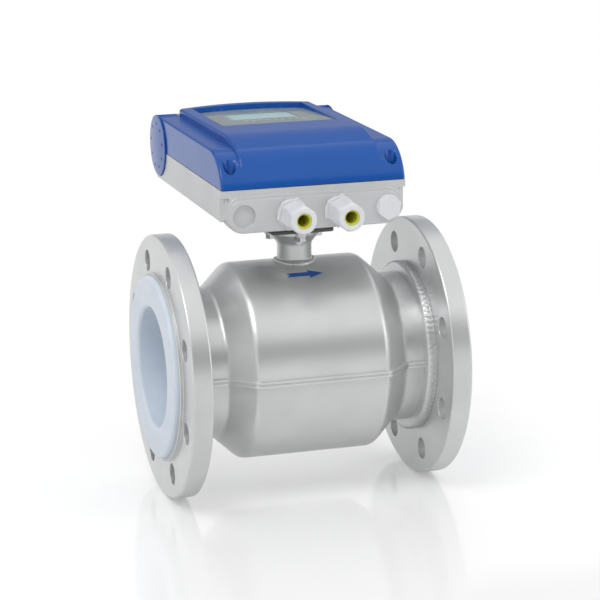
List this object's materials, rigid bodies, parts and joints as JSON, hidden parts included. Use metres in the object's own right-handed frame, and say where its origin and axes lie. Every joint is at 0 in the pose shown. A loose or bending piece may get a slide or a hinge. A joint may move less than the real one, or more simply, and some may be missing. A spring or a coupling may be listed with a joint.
{
  "type": "electromagnetic flow meter",
  "caption": "Flanged electromagnetic flow meter: lined measuring tube in a pressed coil housing, with a compact hinged-cover signal converter on its neck.",
  "frame": {"origin": "centre of the measuring bore, midway between the two liner faces", "axes": "+X along the flow direction, -Y towards the cable entries, +Z from the pipe to the converter"},
  "size_m": [0.25, 0.2835, 0.3025],
  "materials": {
    "sensor_paint": "satin silver-grey paint",
    "liner_plastic": "smooth moulded fluoropolymer",
    "stainless": "drawn and turned",
    "soft_iron": "machined",
    "copper_winding": "enamelled wire",
    "insulator": "moulded",
    "seal_rubber": "moulded",
    "case_grey": "powder coated die casting",
    "cover_blue": "semi-gloss coated die casting",
    "white_plastic": "moulded polyamide",
    "insert_rubber": "moulded",
    "window_glass": "polished",
    "lcd_glass": "liquid crystal panel",
    "board_green": "solder mask",
    "terminal_plastic": "moulded",
    "display_plastic": "moulded",
    "key_rubber": "moulded"
  },
  "bodies": {
    "root": {"inlet_flange": "sensor_paint", "outlet_flange": "sensor_paint", "upper_shell": "sensor_paint", "lower_shell": "sensor_paint", "neck": "sensor_paint", "liner": "liner_plastic", "measuring_tube": "stainless", "near_electrode": "stainless", "far_electrode": "stainless", "electrode_nuts": "stainless", "neck_screws": "stainless", "left_hinge_pin": "stainless", "right_hinge_pin": "stainless", "board_screws": "stainless", "upper_core": "soft_iron", "lower_core": "soft_iron", "return_yoke": "soft_iron", "upper_coil": "copper_winding", "lower_coil": "copper_winding", "electrode_bushes": "insulator", "neck_gasket": "seal_rubber", "cover_gasket": "seal_rubber", "converter_base": "case_grey", "left_gland_body": "white_plastic", "right_gland_body": "white_plastic", "blanking_plug": "white_plastic", "left_gland_seal": "insert_rubber", "right_gland_seal": "insert_rubber", "lcd_panel": "lcd_glass", "main_board": "board_green", "signal_terminals": "terminal_plastic", "power_terminals": "terminal_plastic", "display_housing": "display_plastic"},
    "cover": {"cover": "cover_blue", "window_pane": "window_glass", "left_hinge_cap": "cover_blue", "right_hinge_cap": "cover_blue"},
    "left_screw": {"left_cover_screw": "stainless"},
    "right_screw": {"right_cover_screw": "stainless"},
    "left_nut": {"left_gland_nut": "white_plastic"},
    "right_nut": {"right_gland_nut": "white_plastic"},
    "key_1": {"key_1": "key_rubber"},
    "key_2": {"key_2": "key_rubber"},
    "key_3": {"key_3": "key_rubber"},
    "key_4": {"key_4": "key_rubber"}
  },
  "joints": [
    {"name": "cover_hinge", "type": "hinge", "parent": "root", "child": "cover", "pos_m": [0, 0.147, 0.1595], "axis": [-1, 0, 0], "range_deg": [0, 105]},
    {"name": "left_screw_turn", "type": "hinge", "parent": "cover", "child": "left_screw", "pos_m": [-0.0685, -0.048, 0.163], "axis": [0, 0, 1], "range_deg": [0, 1260]},
    {"name": "right_screw_turn", "type": "hinge", "parent": "cover", "child": "right_screw", "pos_m": [0.0685, -0.048, 0.163], "axis": [0, 0, 1], "range_deg": [0, 1260]},
    {"name": "left_nut_turn", "type": "hinge", "parent": "root", "child": "left_nut", "pos_m": [-0.02, -0.0603, 0.1347], "axis": [0, -1, 0], "range_deg": [0, 690]},
    {"name": "right_nut_turn", "type": "hinge", "parent": "root", "child": "right_nut", "pos_m": [0.02, -0.0603, 0.1347], "axis": [0, -1, 0], "range_deg": [0, 690]},
    {"name": "key_1_press", "type": "slide", "parent": "root", "child": "key_1", "axis": [0, 0, -1], "range_m": [0, 0.001], "stiffness_N_per_m": 400},
    {"name": "key_2_press", "type": "slide", "parent": "root", "child": "key_2", "axis": [0, 0, -1], "range_m": [0, 0.001], "stiffness_N_per_m": 400},
    {"name": "key_3_press", "type": "slide", "parent": "root", "child": "key_3", "axis": [0, 0, -1], "range_m": [0, 0.001], "stiffness_N_per_m": 400},
    {"name": "key_4_press", "type": "slide", "parent": "root", "child": "key_4", "axis": [0, 0, -1], "range_m": [0, 0.001], "stiffness_N_per_m": 400}
  ]
}
